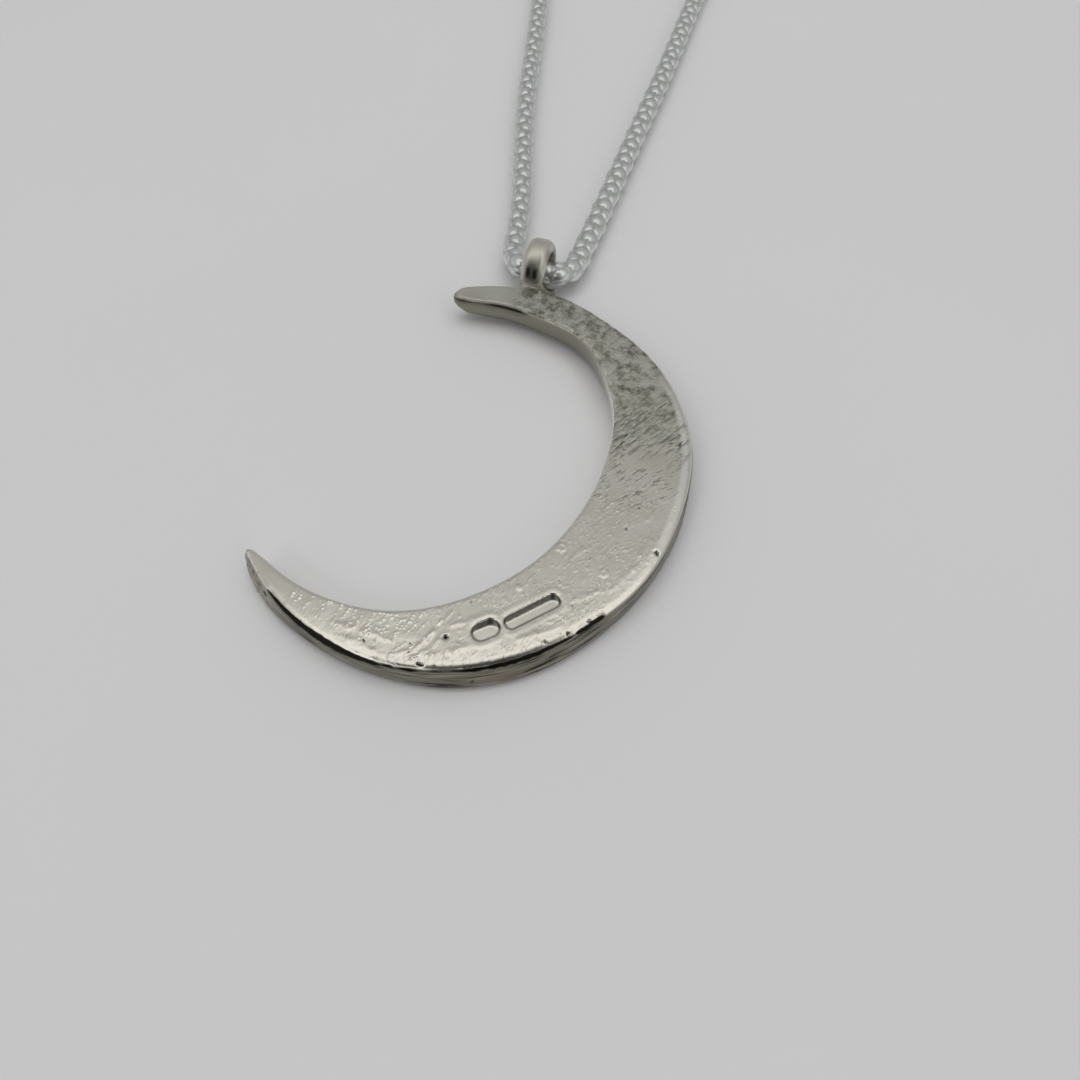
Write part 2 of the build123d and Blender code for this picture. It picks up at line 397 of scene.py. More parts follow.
def between(value, rise, fall):
    """1 between two soft limits. Each is a pair: where it starts and where it ends."""
    return ease(value, *rise) * (1 - ease(value, *fall))


def hump(value, middle, width):
    """1 at the middle, falling away smoothly to both sides."""
    return exp(-(((value - middle) / width) ** 2))


def ripple(x, y, size_x, size_y, layer):
    """Noise over a surface, with the size of its bumps in mm. Each use has its own layer."""
    return noise.noise(Vector((x / size_x, y / size_y, layer)))


def turned(x, y, turn):
    """A step across the back, as its parts along and across a direction."""
    return x * cos(turn) + y * sin(turn), y * cos(turn) - x * sin(turn)


def drawn(x, y, turn, long, short, layer):
    """Noise drawn out along a direction across the back, in mm."""
    return ripple(*turned(x, y, turn), long, short, layer)


def level_at(table, angle):
    """The level that a table of angles and levels gives at an angle."""
    for (a, level_a), (b, level_b) in zip(table, table[1:]):
        if a <= angle <= b:
            return level_a + (level_b - level_a) * (angle - a) / (b - a)
    return table[0][1] if angle < table[0][0] else table[-1][1]


def beside(x, y, stroke):
    """How far a point lies from a straight stroke, in mm."""
    x0, y0, x1, y1 = stroke[:4]
    run_x, run_y = x1 - x0, y1 - y0
    share = ((x - x0) * run_x + (y - y0) * run_y) / max(1e-6, run_x * run_x + run_y * run_y)
    share = min(1.0, max(0.0, share))
    return hypot(x - x0 - share * run_x, y - y0 - share * run_y)


def beside_any(x, y, strokes):
    """How far a point lies from the nearest of some strokes, in mm."""
    return min(beside(x, y, stroke) for stroke in strokes)


def on_back(px, py):
    """The point of the moon's back that the photograph shows at a pixel."""
    half = photo_width / 2
    right, up = (px - half) / focal_px, (half - py) / focal_px
    ray = Vector((1, 0, 0)) * right + camera_up * up - to_camera
    run = (moon_thickness - camera_place.z) / ray.z
    place = camera_place + ray * run
    return place.x, place.y


def stroke_on_back(from_x, from_y, to_x, to_y, *size):
    """A stroke on the moon's back, from its pixels in the photograph."""
    return (*on_back(from_x, from_y), *on_back(to_x, to_y), *size)


def round_moon(x, y):
    """Where a point lies round the moon, in degrees, and how far past its edge, as a share."""
    angle = degrees(atan2(y - moon_y, x - moon_x))
    edge = hypot(x - moon_x, y - moon_y) / moon_radius - level_at(moon_rim, angle)
    return angle, edge


bubble_places = [(*on_back(px, py), radius) for px, py, radius in bubbles]
pit_places = [stroke_on_back(*pit) for pit in pits]
fold_places = [stroke_on_back(*fold) for fold in folds]
bead_places = [stroke_on_back(*line) for line in bead_lines]
burr_places = [stroke_on_back(*line) for line in burr_lines]
horn_places = [stroke_on_back(*line) for line in horn_lines]
recess_places = [
    (
        moon_x + share * moon_radius * cos(radians(angle)),
        moon_y + share * moon_radius * sin(radians(angle)),
        radians(angle + 90 + turn),
        length,
        width,
        corner,
    )
    for angle, share, turn, length, width, corner in recesses
]


# The finishes

class Value:
    """A number at a node's socket. Arithmetic on it adds Math nodes."""

    def __init__(self, finish, socket):
        self.finish = finish
        self.socket = socket

    def maths(self, operation, first, second):
        return self.finish.add("ShaderNodeMath", {"operation": operation}, {0: first, 1: second})

    def __add__(self, other):
        return self.maths("ADD", self, other)

    def __radd__(self, other):
        return self.maths("ADD", other, self)

    def __sub__(self, other):
        return self.maths("SUBTRACT", self, other)

    def __rsub__(self, other):
        return self.maths("SUBTRACT", other, self)

    def __mul__(self, other):
        return self.maths("MULTIPLY", self, other)

    def __rmul__(self, other):
        return self.maths("MULTIPLY", other, self)

    def __truediv__(self, other):
        return self.maths("DIVIDE", self, other)


class Finish:
    """A node tree, with one method that adds any node to it."""

    def __init__(self, tree):
        self.tree = tree
        tree.nodes.clear()

    def add(self, kind, settings=None, sockets=None, out=0):
        node = self.tree.nodes.new(kind)
        for name, setting in (settings or {}).items():
            if name == "stops":
                self.set_stops(node.color_ramp, setting)
            else:
                setattr(node, name, setting)
        for name, value in (sockets or {}).items():
            if isinstance(value, Value):
                self.tree.links.new(value.socket, node.inputs[name])
            else:
                node.inputs[name].default_value = value
        return Value(self, node.outputs[out]) if len(node.outputs) else None

    def set_stops(self, ramp, stops):
        while len(ramp.elements) < len(stops):
            ramp.elements.new(1.0)
        for element, (position, level) in zip(ramp.elements, stops):
            element.position = position
            element.color = (level, level, level, 1.0)

    def place(self):
        """Object coordinates in millimetres."""
        coordinates = self.add("ShaderNodeTexCoord", out="Object")
        return self.scaled(coordinates, 1 / mm)

    def scaled(self, vector, scale):
        return self.add(
            "ShaderNodeVectorMath", {"operation": "SCALE"}, {0: vector, "Scale": scale}
        )

    def facing(self, first, second):
        """How far two directions agree, 1 when they are the same."""
        return self.add(
            "ShaderNodeVectorMath",
            {"operation": "DOT_PRODUCT"},
            {0: first, 1: second},
            out="Value",
        )

    def larger(self, first, second):
        return self.add("ShaderNodeMath", {"operation": "MAXIMUM"}, {0: first, 1: second})

    def attribute(self, name):
        return self.add("ShaderNodeAttribute", {"attribute_name": name}, out="Fac")

    def grain(self, place, scale, detail=3.0, roughness=0.5, stretch=None, turn=0.0):
        """Noise with its scale in bumps per millimetre, drawn out if asked."""
        if stretch:
            place = self.add(
                "ShaderNodeMapping",
                {"vector_type": "TEXTURE"},
                {"Vector": place, "Rotation": (0, 0, turn), "Scale": stretch},
            )
        return self.add(
            "ShaderNodeTexNoise",
            {},
            {"Vector": place, "Scale": scale, "Detail": detail, "Roughness": roughness},
        )

    def ramp(self, value, *stops):
        return self.add("ShaderNodeValToRGB", {"stops": stops}, {"Fac": value})

    def blend(self, share, first, second):
        return self.add(
            "ShaderNodeMix", {"data_type": "RGBA"}, {0: share, 6: first, 7: second}, out=2
        )

    def bump(self, height, strength, distance):
        return self.add(
            "ShaderNodeBump",
            {},
            {"Strength": strength, "Distance": distance * mm, "Height": height},
        )

    def surface(self, sockets):
        shaded = self.add("ShaderNodeBsdfPrincipled", {}, sockets)
        self.add("ShaderNodeOutputMaterial", {}, {"Surface": shaded})

    def metal(self, color, roughness, normal):
        self.surface(
            {"Base Color": color, "Metallic": 1.0, "Roughness": roughness, "Normal": normal}
        )


def new_finish(name):
    material = bpy.data.materials.new(name)
    material.use_nodes = True
    return material, Finish(material.node_tree)


def cast_silver():
    """Worn satin silver, darkened in its pits, with painted shade and painted dark reflections
    on its walls, rims, recesses and bail.
    """
    clean_low, clean_high = (0.67, 0.655, 0.57, 1), (0.74, 0.722, 0.65, 1)
    worn_bright = (0.95, 0.93, 0.87, 1)
    mottled_grey = (0.19, 0.195, 0.15, 1)
    wall_shade_brown, filed_gleam = (0.225, 0.209, 0.168, 1), (0.36, 0.34, 0.28, 1)
    tarnish_and_shade_black = (0.018, 0.017, 0.013, 1)

    material, finish = new_finish("worn_cast_silver")
    place = finish.place()
    tarnish, mottle, scratched, rung, worn, flecked, wall, matte, along = [
        finish.attribute(name) for name in skin_layers
    ]
    cloud = finish.grain(place, 0.6, detail=4.0)
    speck = finish.grain(place, 7.0, detail=3.0, roughness=0.6)

    patches = finish.grain(place, 1.2, detail=6.0, roughness=0.74)
    streaks = finish.grain(
        place, 4.4, detail=3.0, roughness=0.6, stretch=(2.6, 0.6, 1), turn=scratch_turn
    )
    drift = patches + scratched * 0.7 * (streaks - patches)
    dull = mottle * (0.06 + 0.94 * finish.ramp(drift, (0.44, 0.0), (0.61, 1.0)))

    grit = finish.grain(place, 1.0, detail=1.0, stretch=(0.34, 0.13, 1), turn=fleck_turn)
    strewn = finish.ramp(finish.grain(place, 0.7, detail=2.0), (0.40, 0.15), (0.60, 1.0))
    fleck = flecked * strewn * finish.ramp(grit, (0.57, 0.0), (0.65, 1.0))
    holes = finish.grain(place, 3.6, detail=2.0)
    hole = flecked * finish.ramp(holes, (0.24, 1.0), (0.29, 0.0))
    dashes = finish.grain(place, 1.0, detail=2.0, stretch=(0.80, 0.14, 1), turn=radians(38))
    crossed = finish.grain(place, 1.0, detail=2.0, stretch=(0.42, 0.10, 1), turn=radians(22))
    ticks = finish.larger(dashes, crossed - 0.03)
    cut = scratched * strewn * finish.ramp(ticks, (0.57, 0.0), (0.64, 1.0))

    height = finish.add("ShaderNodeSeparateXYZ", {}, {"Vector": place}, out="Z")
    round_wall = finish.add("ShaderNodeCombineXYZ", {}, {"X": along, "Y": height})
    filing = finish.grain(round_wall, 1.0, detail=2.0, stretch=(2.8, 0.15, 1))
    on_wall = finish.ramp(wall, (0.80, 0.0), (0.95, 1.0))
    lines = on_wall * finish.ramp(filing, (0.55, 0.0), (0.63, 1.0))
    gleam = on_wall * finish.ramp(filing, (0.36, 1.0), (0.44, 0.0))

    tone = finish.ramp(cloud, (0.3, 0.0), (0.7, 1.0))
    clean = finish.blend(tone, clean_low, clean_high)
    raised = finish.ramp(rung, (0.15, 0.0), (0.60, 1.0))
    bright = finish.blend(finish.larger(raised, worn), clean, worn_bright)
    greyed = finish.blend(dull, bright, mottled_grey)
    # Painted shade on the walls: a dark brown for the darker surroundings they mirror, with
    # lighter filing streaks
    brown = finish.blend(gleam, wall_shade_brown, filed_gleam)
    filed = finish.blend(wall, greyed, brown)
    # Real darkening in pits, scratches and filing lines, plus painted shade and painted dark
    # reflections on the rim band, horn line, inner edge, recesses and bail
    dark = finish.larger(finish.larger(tarnish, 0.9 * lines), 0.78 * cut + 0.6 * hole)
    color = finish.blend(dark, filed, tarnish_and_shade_black)
    roughness = (
        0.14 + 0.10 * cloud + 0.08 * speck + 0.14 * dull + 0.16 * tarnish + 0.24 * matte
    )
    swell = speck * 0.3 + 2.0 * fleck - 1.2 * dull - 1.8 * cut - 1.2 * lines - 2.0 * hole
    finish.metal(color, roughness, finish.bump(swell, 0.5, 0.018))
    return material


def chain_silver():
    """Bright stamped silver, with a painted grey shade between its bumps."""
    clean_low, clean_high = (0.78, 0.81, 0.80, 1), (0.88, 0.90, 0.885, 1)
    crease_shade_grey = (0.45, 0.47, 0.43, 1)

    material, finish = new_finish("bright_chain_silver")
    place = finish.place()
    cloud = finish.grain(place, 1.4, detail=3.0)
    fine = finish.grain(place, 9.0, detail=2.0)
    crease = finish.attribute("crease")
    clean = finish.blend(cloud, clean_low, clean_high)
    # Painted shade in the creases between the bumps
    color = finish.blend(crease * 0.5, clean, crease_shade_grey)
    roughness = 0.33 + 0.10 * fine + 0.10 * crease
    finish.metal(color, roughness, finish.bump(fine, 0.25, 0.012))
    return material


def polished_silver():
    """Plain polished silver with light wear."""
    clean_low, clean_high = (0.74, 0.74, 0.72, 1), (0.86, 0.86, 0.84, 1)

    material, finish = new_finish("polished_fitting_silver")
    place = finish.place()
    cloud = finish.grain(place, 1.1, detail=4.0)
    fine = finish.grain(place, 8.0, detail=2.0)
    color = finish.blend(cloud, clean_low, clean_high)
    roughness = 0.10 + 0.14 * fine
    finish.metal(color, roughness, finish.bump(fine, 0.2, 0.01))
    return material


def floor_finish():
    """Pale matt paper."""
    pale_low, pale_high = (0.74, 0.745, 0.75, 1), (0.78, 0.78, 0.785, 1)

    material, finish = new_finish("pale_paper")
    cloud = finish.grain(finish.place(), 0.02, detail=3.0)
    finish.surface({"Base Color": finish.blend(cloud, pale_low, pale_high), "Roughness": 0.9})
    return material


# Meshes and pieces

def helper_from(name, data):
    helper = bpy.data.objects.new(name, data)
    bpy.context.scene.collection.objects.link(helper)
    return helper


def baked(helper):
    """The mesh of a helper with its modifiers applied. The helper is removed."""
    scene_graph = bpy.context.evaluated_depsgraph_get()
    scene_graph.update()
    mesh = bpy.data.meshes.new_from_object(helper.evaluated_get(scene_graph))
    bpy.data.objects.remove(helper)
    return mesh


def opened(mesh):
    """A mesh, opened for editing."""
    shape = bmesh.new()
    shape.from_mesh(mesh)
    return shape


def closed(shape, mesh):
    """Writes an edited shape to a mesh."""
    shape.to_mesh(mesh)
    shape.free()
    return mesh


def only(kind, items):
    return [item for item in items if isinstance(item, kind)]


def smooth_over(shape, verts, passes=1):
    for _ in range(passes):
        bmesh.ops.smooth_vert(
            shape, verts=verts, factor=0.5, use_axis_x=True, use_axis_y=True, use_axis_z=True
        )


def finished_piece(name, mesh, material, replaced):
    """Puts a finished mesh in the scene as one piece of the object."""
    mesh.name = name
    mesh.materials.clear()
    mesh.materials.append(material)
    piece = helper_from(name, mesh)
    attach(piece, "root")
    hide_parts(replaced)


# The casting's skin

def in_recess(x, y, margin):
    """Whether a point lies over one of the two recesses of the part."""
    for place_x, place_y, turn, length, width, corner in recess_places:
        along, across = turned(x - place_x, y - place_y, turn)
        if abs(along) < length / 2 + margin and abs(across) < width / 2 + margin:
            return True
    return False


def finely_worked(x, y):
    """Whether the back's detail at a point needs the finest mesh."""
    angle, edge = round_moon(x, y)
    among_beads = (
        fine_angles[0] < angle < fine_angles[1] and fine_edges[0] < edge < fine_edges[1]
    )
    return among_beads or in_recess(x, y, fine_past_recess)


def by_horn_line(x, y, z):
    """Whether a point lies on the wall at the painted shade line under the upper horn."""
    return z > horn_line_above and beside_any(x, y, horn_places) < horn_line_reach


def on_filed_edge(x, y, z):
    """Whether a point lies on the back's edge along the filed lower rim."""
    angle, _ = round_moon(x, y)
    past_edge = hypot(x - moon_x, y - moon_y) - level_at(moon_rim, angle) * moon_radius
    near_corner = abs(past_edge + moon_thickness - z) < filed_reach
    return filed_angles[0] < angle < filed_angles[1] and near_corner and past_edge > -filed_reach


def casting_guide():
    """The casting's own surface, closed over its two recesses."""
    shape = opened(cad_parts["pendant"].data)
    bmesh.ops.remove_doubles(shape, verts=shape.verts, dist=merge_distance)
    middles = [(face, face.calc_center_median() / mm) for face in shape.faces]
    sunk = [
        face for face, middle in middles
        if sunk_above < middle.z < moon_thickness - sunk_below_back
        and in_recess(middle.x, middle.y, sunk_past_recess)
    ]
    bmesh.ops.delete(shape, geom=sunk, context="FACES")
    open_edges = [edge for edge in shape.edges if edge.is_boundary]
    bmesh.ops.holes_fill(shape, edges=open_edges, sides=0)
    many_sided = [face for face in shape.faces if len(face.verts) > 4]
    bmesh.ops.triangulate(shape, faces=many_sided)
    return closed(shape, bpy.data.meshes.new("casting_guide"))


def split_faces(shape, faces):
    """Splits each of the faces in four."""
    edges = list(dict.fromkeys(edge for face in faces for edge in face.edges))
    bmesh.ops.subdivide_edges(shape, edges=edges, cuts=1, use_grid_fill=True)


def casting_skin():
    """The casting's own surface as an even mesh, finer on the back and worn soft."""
    guide_mesh = casting_guide()
    guide = helper_from("casting_guide", guide_mesh)
    skin = helper_from("casting_skin", guide_mesh.copy())
    remesh = skin.modifiers.new("even_skin", "REMESH")
    remesh.mode = "VOXEL"
    remesh.voxel_size = skin_grain * mm
    remesh.use_smooth_shade = True
    even = baked(skin)

    fine = opened(even)
    split_faces(fine, [
        face for face in fine.faces
        if (face.normal.z > split_facing and face.calc_center_median().z > back_above * mm)
        or by_horn_line(*(face.calc_center_median() / mm))
    ])
    split_faces(fine, [
        face for face in fine.faces
        if face.normal.z > split_more_facing
        and face.calc_center_median().z > back_above * mm
        and finely_worked(*(face.calc_center_median().xy / mm))
    ])

    fitted = helper_from("casting_fitted", closed(fine, even))
    wrap = fitted.modifiers.new("fit", "SHRINKWRAP")
    wrap.wrap_method = "NEAREST_SURFACEPOINT"
    wrap.target = guide
    mesh = baked(fitted)
    bpy.data.objects.remove(guide)

    soft = opened(mesh)
    smooth_over(soft, soft.verts, skin_passes)
    filed = [vert for vert in soft.verts if on_filed_edge(*(vert.co / mm))]
    smooth_over(soft, filed, filed_passes)
    for place, reach, passes in soft_places:
        near = [(vert, (vert.co / mm - Vector(place)).length) for vert in soft.verts]
        near = [(vert, away) for vert, away in near if away < reach]
        for turn in range(passes):
            within = reach * (soft_start + (1 - soft_start) * (turn + 1) / passes)
            smooth_over(soft, [vert for vert, away in near if away < within])
    return closed(soft, mesh)


# The casting's relief. Heights are in mm, and every other mark is a share from 0 to 1.

def mottling(x, y, angle):
    """How mottled the back is at a point."""
    wander = mottled_wander * ripple(x, y, 2.0, 2.0, 20.0)
    lower, upper = mottled_angles
    share = ease(y + 2 * wander, *mottled_start) * (1 - ease(angle + 8 * wander, *upper))
    return share * ease(angle, *lower)


def worn_rim(angle, edge):
    """How brightly worn the back is along its outer edge at the right."""
    return worn_share * ease(edge, *worn_edge) * between(angle, *worn_angles)


def burr_crest(x, y, angle):
    """The crest of the burr along the tip's outer edge."""
    if angle > burr_angles_below:
        return 0.0
    return hump(beside_any(x, y, burr_places), 0, burr_radius)


def fleck_share(angle, edge):
    """How much of the back at a point is covered by small raised flecks."""
    lip = ease(edge, -0.045, -0.02)
    tip = 1 - ease(angle, -132.0, -127.0)
    left = 1 - ease(angle, -104.0, -90.0)
    return (1 - ease(angle, -22.0, 2.0)) * (1 - lip) * (1 - tip) * (1 - 0.75 * left)


def bead_share(x, y):
    """How far up a bead a point is, or up the low ridge that joins a line of them."""
    share = 0.0
    for line in bead_places:
        x0, y0, x1, y1 = line
        if abs(x - x0) > bead_reach or abs(y - y0) > bead_reach:
            continue
        run_x, run_y = x1 - x0, y1 - y0
        length = hypot(run_x, run_y)
        steps = max(1, round(length / bead_gap))
        along = ((x - x0) * run_x + (y - y0) * run_y) / length ** 2
        step = min(steps, max(0, round(along * steps))) / steps
        bead_x, bead_y = x0 + run_x * step, y0 + run_y * step
        stray = noise.noise_vector(Vector((7.3 * bead_x, 7.3 * bead_y, 8.0)))
        away = hypot(x - bead_x - bead_stray * stray.x, y - bead_y - bead_stray * stray.y)
        bead = (0.70 + 1.2 * stray.z) * hump(away, 0, bead_radius * (1 + 0.6 * stray.x))
        ridge = 0.12 * hump(beside(x, y, line), 0, bead_radius)
        share = max(share, bead, ridge)
    return share


def back_relief(x, y, angle, edge):
    """The cast back at a point: its height, how dark its pits and scratches are, and its beads.
    """
    height = swell_height * ripple(x, y, 2.2, 2.2, 1.0)
    melted = hump(angle, melted_angle, 17.0) * ease(edge, -0.21, -0.10)
    height += melted_height * melted * ripple(x, y, 0.9, 0.7, 2.0)
    height -= melted_drop * hump(angle, melted_angle, 14.0) * ease(edge, -0.16, -0.02)

    rough = noise.fractal(Vector((x / 0.5, y / 0.5, 3.0)), 1.0, 2.0, 3)
    height += speckle_height * mottling(x, y, angle) * rough

    scratched = between(y, *scratched_relief) * (1 - ease(angle, *scratched_angle_end))
    dash = scratched * ease(drawn(x, y, scratch_turn, 0.95, 0.26, 5.0), 0.18, 0.36)
    height -= scratch_depth * dash
    tarnish = scratch_dark * dash

    beads = bead_share(x, y) if angle < bead_angles_below else 0.0
    height += bead_height * beads
    lone = ease(drawn(x, y, fleck_turn, 0.34, 0.20, 9.0), 0.34, 0.55)
    height += fleck_height * fleck_share(angle, edge) * lone
    height += burr_height * burr_crest(x, y, angle)

    for bubble_x, bubble_y, radius in bubble_places:
        away = hypot(x - bubble_x, y - bubble_y)
        if away < mark_reach * radius:
            height += bubble_rim[0] * hump(away, radius, bubble_rim[1])
            height += bubble_dome[0] * hump(away, 0, bubble_dome[1])
    stray = noise.noise_vector(Vector((x / fold_wander, y / fold_wander, 40.0))) * fold_stray
    for fold in fold_places:
        radius, lift = fold[4:]
        away = beside(x + stray.x, y + stray.y, fold)
        if away < mark_reach * radius:
            height += lift * hump(away, 0, radius) * (1 - 0.6 * ease(edge, -0.09, -0.03))
    for pit in pit_places:
        radius, depth = pit[4:]
        away = beside(x, y, pit)
        if away < mark_reach * radius:
            hole = hump(away, 0, radius)
            height -= depth * hole
            tarnish = max(tarnish, ease(hole, 0.08, 0.5))
    return height, tarnish, beads


def recess_inside(x, y, recess):
    """How far inside a recess's border a point lies, below 0 when outside."""
    place_x, place_y, turn, length, width, corner = recess
    along, across = turned(x - place_x, y - place_y, turn)
    past_end = abs(along) - length / 2 + corner
    past_side = abs(across) - width / 2 + corner
    rounded = hypot(max(past_end, 0.0), max(past_side, 0.0))
    return corner - rounded - min(max(past_end, past_side), 0.0)


def recess_relief(x, y):
    """The recesses at a point: how deep the carving goes, its swollen lip, and its painted
    shade.

    The far wall slopes gently and the other walls are steep.
    """
    deep = lip = dark = 0.0
    for recess in recess_places:
        inside = recess_inside(x, y, recess)
        if inside < -0.8:
            continue
        lip = max(lip, hump(inside, -0.26, 0.18))
        if inside > 0:
            to_far = 0.0
            while to_far < recess_slope_far and recess_inside(x, y + to_far, recess) > 0:
                to_far += recess_step
            far = min(1.0, to_far / recess_slope_far)
            deep = max(deep, min(far * (2 - far), ease(inside, 0.0, recess_slope_near)))
            # Painted shade along the recess's far, sloping wall
            dark = max(dark, 0.80 * (1 - ease(far, 0.55, 1.0)) * ease(inside, 0.0, 0.06))
    return deep, lip * (1 - deep), dark


def wall_relief(angle, z):
    """Height and darkening of the filed outer wall, drawn out along the moon."""
    along = radians(angle) * moon_radius
    line = ripple(along, z, 2.4, 0.22, 11.0)
    height = wall_swell * ripple(along, z, 2.5, 0.5, 13.0) - wall_groove * ease(line, 0.2, 0.6)
    raw = 1 - ease(angle, *raw_wall)
    rough = noise.fractal(Vector((along / 0.35, z / 0.35, 15.0)), 1.0, 2.0, 3)
    height += raw_height * raw * rough
    tarnish = 0.12 * line + raw * (0.15 - 0.45 * rough)
    for pit_angle, pit_z, radius in wall_pits:
        away = hypot(radians(angle - pit_angle) * moon_radius, z - pit_z)
        hole = hump(away, 0, radius)
        height -= wall_pit_depth * hole
        tarnish += hole
    return height, min(1.0, max(0.0, tarnish))


def rim_dark(angle, steepness, z):
    """The filed band of the lower rim at a point: how much is gone, and how dark its painted
    reflection is.
    """
    thick = level_at(rim_band, angle)
    if not thick:
        return 0.0, 0.0
    turned_over = max(0.0, sin(2 * steepness))
    along = radians(angle) * moon_radius
    ragged = ripple(along, z, 0.6, 0.25, 14.0)
    broken = ease(angle, -70.0, -55.0) * max(0.0, ripple(along, z, 1.2, 0.2, 16.0))
    start = 1 - 0.85 * thick
    dark = ease(turned_over + 0.14 * ragged - 0.8 * broken, start - 0.06, start + 0.12)
    return thick * turned_over ** 0.8, dark


def bail_shade(place):
    """How dark the painted shade and reflections on the bail and its foot are at a point."""
    shade = 0.0
    round_ring = Vector((*mouth_direction, 0))
    for centre, reach, climb, dark in bail_shades:
        away = place - Vector(centre)
        beside_ring = away.dot(round_ring)
        up_ring = (away - beside_ring * round_ring).length
        shade = max(shade, dark * exp(-((beside_ring / reach) ** 4) - (up_ring / climb) ** 4))
    return shade


class SkinPoint:
    """A point of the casting's skin: where it lies, its relief, and its finish's marks."""

    def __init__(self, vert):
        self.place = vert.co / mm
        self.x, self.y, self.z = self.place
        self.angle, self.edge = round_moon(self.x, self.y)
        self.steepness = acos(max(-1.0, min(1.0, vert.normal.z)))
        self.steep = self.steeper(*wall_begins)
        outwards = vert.normal.x * (self.x - moon_x) + vert.normal.y * (self.y - moon_y)
        self.faces_out = outwards > 0
        self.height = 0.0
        self.marks = dict.fromkeys(skin_layers, 0.0)
        self.marks["along"] = radians(self.angle) * moon_radius

    def steeper(self, low, high):
        """How far the skin's steepness has come from one angle to another."""
        return ease(self.steepness, radians(low), radians(high))

    def darken(self, share):
        # Real darkening and painted shade share this one mark
        self.marks["tarnish"] = min(1.0, max(self.marks["tarnish"], share))

    def mark_bail(self):
        away = hypot(self.x - bail_x, self.y - bail_y)
        if away < bail_reach[1]:
            # Painted shade and painted dark reflection on the bail
            self.darken(bail_shade(self.place))
            self.marks["matte"] = 0.9 * (1 - ease(away, *bail_reach))

    def mark_back(self):
        """The back's relief, its recesses and the slope filed along its outer edge."""
        x, y, angle, edge = self.x, self.y, self.angle, self.edge
        flat = 1 - self.steeper(*relief_fades)
        soft_edge = 1 - self.steeper(*finish_fades)
        height, tarnish, beads = back_relief(x, y, angle, edge)
        deep, lip, shadow = recess_relief(x, y)
        uncut = flat * (1 - deep)
        self.height += height * uncut * (1 - lip) - recess_depth * deep + recess_lip * lip
        # Painted shade from the recesses joins the real darkening here
        self.darken(max(tarnish * uncut, shadow))

        past_edge = edge * moon_radius
        lower = 1 - ease(angle, *filed_end)
        tip = 1 - ease(angle, *tip_end)
        slope = filed_slope * (1 - 0.7 * tip) * lower * max(0.0, past_edge + filed_width) ** 2
        self.height -= slope * uncut
        self.height -= tip_slope * tip * max(0.0, past_edge + tip_width) ** 2 * flat

        rest = 1 - ease(edge, *clean_edge) * (1 - ease(angle, *clean_angle_end))
        self.marks["mottle"] = mottling(x, y, angle) * soft_edge * rest
        self.marks["scratched"] = between(y, *scratched_finish) * flat * rest
        self.marks["rung"] = beads * flat
        self.marks["worn"] = max(worn_rim(angle, edge), burr_crest(x, y, angle)) * soft_edge
        self.marks["flecked"] = 0.8 * fleck_share(angle, edge) * uncut * (1 - lip)

    def mark_horn_line(self):
        away = beside_any(self.x, self.y, horn_places)
        kept = ease(self.angle, *horn_line_start) * (1 - 0.8 * ease(self.angle, *horn_line_end))
        under = sum(
            share * hump(self.z, level, width) for level, width, share in horn_line_bands
        )
        # Painted shade under the upper horn's rounded inner edge
        self.darken(kept * under * hump(away, 0, horn_line_radius))

    def mark_outer_wall(self):
        height, streak = wall_relief(self.angle, self.z)
        raw = 1 - ease(self.angle, *raw_wall)
        self.height += height * self.steep
        self.darken(streak * self.steep)
        # Painted shade: the outer wall's dark brown colour
        self.marks["wall"] = self.steep * (1 - 0.50 * raw)
        self.marks["matte"] = (0.5 + 0.5 * raw) * self.steep
        if self.z > back_above:
            gone, dark = rim_dark(self.angle, self.steepness, self.z)
            self.height -= rim_band_depth * gone
            # Painted dark reflection along the lower rim
            self.darken(dark)

    def mark_inner_wall(self):
        """Worn bright below, with a painted shade along the upper arm."""
        middle, width = inner_edge_shade
        worn = 0.85 * self.steeper(*inner_worn) * (1 - ease(self.angle, *inner_worn_end))
        dull = 0.55 * hump(self.steepness, radians(middle), radians(width))
        faces_front = ease(self.angle, *faces_front_start)
        self.marks["worn"] = max(self.marks["worn"], worn)
        # Painted shade along the upper arm's inner edge
        self.darken(dull * ease(self.angle, *inner_edge_shade_start))
        # Painted shade: the inner wall's dark brown colour
        self.marks["wall"] = 0.78 * self.steep * faces_front
        self.marks["matte"] = 0.9 * self.steeper(*inner_matt) * faces_front

    def mark_moon(self):
        if self.z > back_above:
            self.mark_back()
        if self.angle > horn_angles_above and self.z > horn_line_above:
            self.mark_horn_line()
        if self.faces_out:
            self.mark_outer_wall()
        else:
            self.mark_inner_wall()
        self.height += horn_swell * hump((self.place - horn_end).length, 0.0, 1.0)


def give_relief(mesh):
    """Moves the casting's skin by its relief and writes down what its finish needs."""
    skin = opened(mesh)
    layers = {name: skin.verts.layers.float.new(name) for name in skin_layers}
    skin.normal_update()
    moves = []
    for vert in skin.verts:
        point = SkinPoint(vert)
        point.mark_bail()
        if point.edge < moon_past_edge and point.z < moon_thickness + moon_past_back:
            point.mark_moon()
        for name, layer in layers.items():
            vert[layer] = point.marks[name]
        moves.append(vert.normal * point.height * mm)
    for vert, move in zip(skin.verts, moves):
        vert.co += move
    carved = [
        vert for vert in skin.verts
        if vert.co.z > carved_above * mm
        and in_recess(*(vert.co.xy / mm), carved_past_recess)
    ]
    smooth_over(skin, carved, carved_passes)
    for face in skin.faces:
        face.smooth = True
    return closed(skin, mesh)


# The chain

